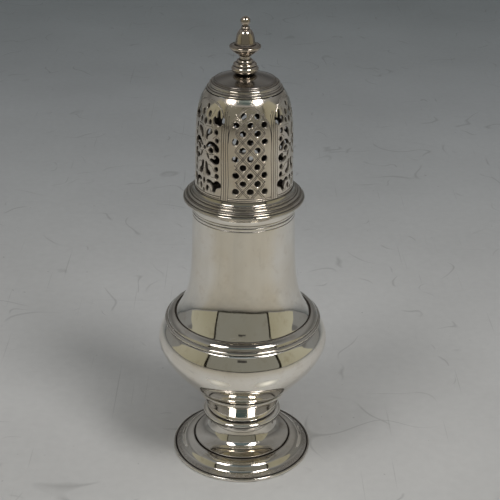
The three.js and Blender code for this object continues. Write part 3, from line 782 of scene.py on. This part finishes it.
# ------------------------------------------------------------------ the table and the studio
def table_top(name, colour, rough=0.6):
    """Pale matt table: faint mottling and hair scratches, and painted light falloff: a little darker away from the
    middle, warm in front and cool behind.
    """
    m = bpy.data.materials.new(name)
    m.use_nodes = True
    nt = m.node_tree
    b = nt.nodes["Principled BSDF"]
    coord = nt.nodes.new("ShaderNodeTexCoord")

    def node(kind, **values):
        n = nt.nodes.new(kind)
        for k, v in values.items():
            setattr(n, k, v)
        return n

    def noise(scale, detail, stretch=None, turn=0.0):
        n = node("ShaderNodeTexNoise")
        n.inputs["Scale"].default_value = scale
        n.inputs["Detail"].default_value = detail
        if stretch:
            mp = node("ShaderNodeMapping")
            mp.inputs["Scale"].default_value = stretch
            mp.inputs["Rotation"].default_value = (0, 0, turn)
            nt.links.new(coord.outputs["Object"], mp.inputs["Vector"])
            nt.links.new(mp.outputs[0], n.inputs["Vector"])
        else:
            nt.links.new(coord.outputs["Object"], n.inputs["Vector"])
        return n.outputs["Fac"]

    def span(x, lo, hi, a=0.0, b=1.0):
        n = node("ShaderNodeMapRange")
        nt.links.new(x, n.inputs["Value"])
        for k, v in (("From Min", lo), ("From Max", hi), ("To Min", a), ("To Max", b)):
            n.inputs[k].default_value = v
        return n.outputs["Result"]

    def maths(op, x, y):
        n = node("ShaderNodeMath", operation=op)
        nt.links.new(x, n.inputs[0])
        if hasattr(y, "is_linked"):
            nt.links.new(y, n.inputs[1])
        else:
            n.inputs[1].default_value = y
        return n.outputs[0]

    length = node("ShaderNodeVectorMath", operation="LENGTH")
    nt.links.new(coord.outputs["Object"], length.inputs[0])
    split = node("ShaderNodeSeparateXYZ")
    nt.links.new(coord.outputs["Object"], split.inputs[0])
    # Painted light falloff by Y: brightest across the pot, darker and warm in front, darker and cool behind.
    painted_light_falloff = node("ShaderNodeValToRGB")
    nt.links.new(span(split.outputs["Y"], -0.6, 0.6), painted_light_falloff.inputs["Fac"])
    r = painted_light_falloff.color_ramp
    r.elements[0].position, r.elements[0].color = 0.0, (0.70, 0.665, 0.585, 1)
    r.elements[1].position, r.elements[1].color = 1.0, (0.70, 0.77, 0.80, 1)
    for at, c in ((0.14, (0.745, 0.71, 0.625, 1)), (0.28, (0.76, 0.725, 0.635, 1)), (0.40, (0.885, 0.855, 0.77, 1)), (0.46, (0.985, 0.985, 0.965, 1)), (0.50, (1.0, 1.0, 0.985, 1)), (0.60, (1.0, 1.01, 1.005, 1)), (0.68, (0.86, 0.885, 0.895, 1)), (0.80, (0.78, 0.82, 0.845, 1))):
        e = r.elements.new(at)
        e.color = c
    tone = node("ShaderNodeMix", data_type="RGBA", blend_type="MULTIPLY")
    tone.inputs["Factor"].default_value = 1.0
    tone.inputs["A"].default_value = (*colour, 1)
    nt.links.new(painted_light_falloff.outputs["Color"], tone.inputs["B"])
    mottle = maths("ADD", span(noise(11.0, 6.0), 0.3, 0.7, -0.06, 0.06), span(noise(300.0, 3.0), 0.3, 0.7, -0.022, 0.022))
    hair_a = span(noise(1.0, 2.0, (900.0, 14.0, 1.0), 0.25), 0.70, 0.76)
    hair_b = span(noise(1.0, 2.0, (14.0, 1000.0, 1.0), 0.1), 0.71, 0.77)
    hair_c = span(noise(1.0, 2.0, (700.0, 20.0, 1.0), -0.9), 0.72, 0.78)
    hair = maths("MAXIMUM", maths("MAXIMUM", hair_a, hair_b), hair_c)
    curls = []
    for size, turn, level, width in ((21.0, 0.3, 0.5, 0.007), (16.0, 1.3, 0.47, 0.005), (34.0, 2.2, 0.52, 0.010), (12.0, 2.9, 0.5, 0.0022)):
        off = maths("ABSOLUTE", maths("SUBTRACT", noise(1.0, 1.5, (size, size, 1.0), turn), level), 0.0)
        curls.append(maths("MULTIPLY", span(off, 0.0, width, 1.0, 0.0), span(noise(1.0, 1.0, (size * 0.9, size * 1.7, 1.0), turn + 1.7), 0.60, 0.66)))
    curl = maths("MAXIMUM", maths("MAXIMUM", curls[0], curls[1]), maths("MAXIMUM", curls[2], curls[3]))
    specks = span(noise(420.0, 1.0), 0.775, 0.81)
    marks = maths("ADD", maths("MULTIPLY", hair, 0.15), maths("ADD", maths("MULTIPLY", curl, 0.22), maths("MULTIPLY", specks, 0.25)))
    grey = maths("SUBTRACT", mottle, marks)
    light = maths("ADD", grey, 1.0)
    join_light = node("ShaderNodeVectorMath", operation="SCALE")
    nt.links.new(tone.outputs["Result"], join_light.inputs[0])
    nt.links.new(light, join_light.inputs["Scale"])
    nt.links.new(join_light.outputs[0], b.inputs["Base Color"])
    b.inputs["Roughness"].default_value = rough
    b.inputs["Specular IOR Level"].default_value = 0.25
    return m


def board(name, verts, faces, material):
    mesh = bpy.data.meshes.new(name)
    mesh.from_pydata(verts, [], faces)
    mesh.update()
    mesh.materials.append(material)
    ob = bpy.data.objects.new(name, mesh)
    scene.collection.objects.link(ob)
    return ob


table_mat = table_top("table_pale_grey", (0.64, 0.645, 0.64))
# A round sweep: flat table, then a wide curve up into a plain wall, the same from every side.
sweep = [(0.0, 0.0), (0.35, 0.0), (0.8, 0.0), (1.3, 0.0)] + [(1.3 + 0.9 * math.sin(t), 0.9 * (1 - math.cos(t))) for t in np.linspace(0.1, math.pi / 2, 14)] + [(2.2, 2.6)]
SW = 96
sv = [(0.0, 0.0, 0.0)]
for r, z in sweep[1:]:
    sv += [(r * math.cos(2 * math.pi * k / SW), r * math.sin(2 * math.pi * k / SW), z) for k in range(SW)]
sf = [(0, 1 + k, 1 + (k + 1) % SW) for k in range(SW)]
for i in range(len(sweep) - 2):
    sf += [(1 + i * SW + k, 1 + (i + 1) * SW + k, 1 + (i + 1) * SW + (k + 1) % SW, 1 + i * SW + (k + 1) % SW) for k in range(SW)]
n_flat = SW * 3
table = board("table", sv[:1 + 3 * SW], [f for f in sf if max(f) < 1 + 3 * SW], table_mat)
wall = board("studio_wall", sv, [f for f in sf if min(f) >= 1 + 2 * SW], table_mat)
for p in wall.data.polygons:
    p.use_smooth = True
wall.visible_glossy = False
wall.visible_shadow = False
wall.visible_diffuse = False


def emitter(name):
    """Light as the mesh's own 'glow' values give it."""
    m = bpy.data.materials.new(name)
    m.use_nodes = True
    nt = m.node_tree
    nt.nodes.clear()
    e = nt.nodes.new("ShaderNodeEmission")
    o = nt.nodes.new("ShaderNodeOutputMaterial")
    g = nt.nodes.new("ShaderNodeAttribute")
    g.attribute_name = "glow"
    nt.links.new(g.outputs["Color"], e.inputs["Color"])
    nt.links.new(e.outputs[0], o.inputs["Surface"])
    return m


def aim(az, el, dist):
    a, e = math.radians(az), math.radians(el)
    return (dist * math.sin(a) * math.cos(e), -dist * math.cos(a) * math.cos(e), dist * math.sin(e))


def card(name, az0, az1, el0, el1, colours, dist=1.1, centre=0.06, lean=(0, 0)):
    """A curved reflector card round the object between two azimuths and two elevations, seen only in the silver.
    colours runs evenly from az0 to az1, and lean shifts those two edges at the top, in degrees."""
    n, m = max(2, int(abs(az1 - az0) / 3)), max(2, int(abs(el1 - el0) / 4))
    verts, faces, glow = [], [], []
    stops = np.array(colours if len(colours) > 1 else colours * 2, float)
    for j in range(m + 1):
        el = el0 + (el1 - el0) * j / m
        for i in range(n + 1):
            lo, hi = az0 + lean[0] * j / m, az1 + lean[1] * j / m
            a = math.radians(lo + (hi - lo) * i / n)
            verts.append((dist * math.sin(a), -dist * math.cos(a), centre + dist * math.tan(math.radians(el))))
            glow.append([float(np.interp(i / n, np.linspace(0, 1, len(stops)), stops[:, c])) for c in range(3)] + [1.0])
    for j in range(m):
        for i in range(n):
            k = j * (n + 1) + i
            faces.append((k, k + 1, k + n + 2, k + n + 1))
    ob = board(name, verts, faces, emitter(name + "_light"))
    attribute = ob.data.attributes.new("glow", "FLOAT_COLOR", "POINT")
    attribute.data.foreach_set("color", np.array(glow, np.float32).ravel())
    ob.visible_camera = False
    ob.visible_diffuse = False
    ob.visible_shadow = False
    ob.visible_transmission = False
    return ob


def lamp(name, az, el, dist, size, power, colour=(1.0, 0.97, 0.955)):
    data = bpy.data.lights.new(name, "AREA")
    data.shape = "RECTANGLE"
    data.size, data.size_y = size
    data.energy = power
    data.color = colour
    ob = bpy.data.objects.new(name, data)
    scene.collection.objects.link(ob)
    p = Vector(aim(az, el, dist)) + Vector((0, 0, 0.06))
    ob.location = p
    ob.rotation_euler = (Vector((0, 0, 0.06)) - p).to_track_quat("-Z", "Y").to_euler()
    return ob


lamp("lamp_right", 45, 52, 0.80, (0.23, 0.26), 2.3)
lamp("lamp_left", -45, 52, 0.80, (0.23, 0.26), 1.2)
fill = lamp("fill_above", 0, 80, 1.0, (1.2, 1.2), 3.0, (0.985, 0.995, 1.0))
fill.visible_glossy = False

def pool(name, x, y, radius, middle, edge):
    """A soft pool of thrown light on the table, seen only in the silver."""
    verts, faces, glow = [(x, y, 0.0004)], [], [[*middle, 1.0]]
    for k in range(1, 7):
        w = 0.5 + 0.5 * math.cos(math.pi * k / 6)
        for i in range(24):
            a = 2 * math.pi * i / 24
            verts.append((x + radius * k / 6 * math.cos(a), y + 0.75 * radius * k / 6 * math.sin(a), 0.0004))
            glow.append([e + (m - e) * w for m, e in zip(middle, edge)] + [1.0])
    faces += [(0, 1 + i, 1 + (i + 1) % 24) for i in range(24)]
    for k in range(5):
        faces += [(1 + 24 * k + i, 25 + 24 * k + i, 25 + 24 * k + (i + 1) % 24, 1 + 24 * k + (i + 1) % 24) for i in range(24)]
    ob = board(name, verts, faces, emitter(name + "_light"))
    attribute = ob.data.attributes.new("glow", "FLOAT_COLOR", "POINT")
    attribute.data.foreach_set("color", np.array(glow, np.float32).ravel())
    ob.visible_camera = False
    ob.visible_diffuse = False
    ob.visible_shadow = False
    ob.visible_transmission = False
    return ob


pool("pool_left", -0.0212, -0.0335, 0.0115, (0.60, 0.585, 0.53), (0.40, 0.392, 0.365))
pool("pool_right", 0.0225, -0.0335, 0.0125, (0.80, 0.78, 0.70), (0.40, 0.392, 0.365))

card("front_card", -46.5, 46.5, -0.8, 38, [(0.178, 0.175, 0.150), (0.182, 0.180, 0.153), (0.196, 0.193, 0.165)], lean=(-3, 3))
card("front_card_foot", -49, 49, -2.8, -0.8, [(0.03, 0.028, 0.022)], dist=1.09)
card("front_card_mark", -6.5, 6.5, 30.6, 34.2, [(0.04, 0.038, 0.034)], dist=1.085)
# The near-black gap strips are painted shade for the shadowed gaps between the front card and the cream cards, seen
# only in the silver.
card("gap_left", -49.7, -46.2, -2.8, 38, [(0.012, 0.010, 0.007)], dist=1.09, lean=(-3, -3))
card("gap_right", 46.2, 49.7, -2.8, 38, [(0.012, 0.010, 0.007)], dist=1.09, lean=(3, 3))
card("cream_card_left", -106, -49.7, -1.8, 38, [(0.31, 0.297, 0.232), (0.275, 0.262, 0.194), (0.24, 0.227, 0.167)], lean=(26, -3))
card("cream_card_right", 49.7, 104, -1.8, 38, [(0.275, 0.26, 0.19), (0.31, 0.295, 0.22), (0.345, 0.332, 0.255)], lean=(3, -26))
card("side_left", -150, -80, -3, 14, [(0.115, 0.118, 0.115), (0.17, 0.172, 0.168), (0.185, 0.187, 0.182), (0.165, 0.165, 0.155)], dist=1.12)
card("side_right", 80, 150, -3, 14, [(0.16, 0.159, 0.15), (0.185, 0.187, 0.182), (0.175, 0.177, 0.172), (0.12, 0.122, 0.12)], dist=1.12)
card("head_strip", -30, 30, 38, 42, [(0.42, 0.41, 0.43)])
card("head_card", -30, 30, 42, 59, [(0.05, 0.085, 0.09)])
card("head_line", -26, 26, 50, 52.5, [(0.35, 0.42, 0.43)], dist=1.09)

world = bpy.data.worlds.new("studio")
scene.world = world
world.use_nodes = True
nt = world.node_tree
nt.nodes.clear()
w_out = nt.nodes.new("ShaderNodeOutputWorld")
w_bg = nt.nodes.new("ShaderNodeBackground")
w_co = nt.nodes.new("ShaderNodeTexCoord")
w_sep = nt.nodes.new("ShaderNodeSeparateXYZ")
w_ramp = nt.nodes.new("ShaderNodeValToRGB")
nt.links.new(w_co.outputs["Generated"], w_sep.inputs[0])
nt.links.new(w_sep.outputs["Z"], w_ramp.inputs["Fac"])
nt.links.new(w_ramp.outputs["Color"], w_bg.inputs["Color"])
nt.links.new(w_bg.outputs[0], w_out.inputs["Surface"])
ramp = w_ramp.color_ramp
ramp.elements[0].position, ramp.elements[0].color = 0.0, (0.20, 0.20, 0.196, 1)
ramp.elements[1].position, ramp.elements[1].color = 1.0, (0.06, 0.06, 0.06, 1)
for at, level in ((0.30, 0.11), (0.59, 0.24), (0.8, 0.20)):
    e = ramp.elements.new(at)
    e.color = (level, level, level * 0.985, 1)
w_bg.inputs["Strength"].default_value = 1.0
world.cycles_visibility.diffuse = False

scene.view_settings.view_transform = "Standard"
scene.view_settings.look = "None"
scene.view_settings.exposure = 0.0
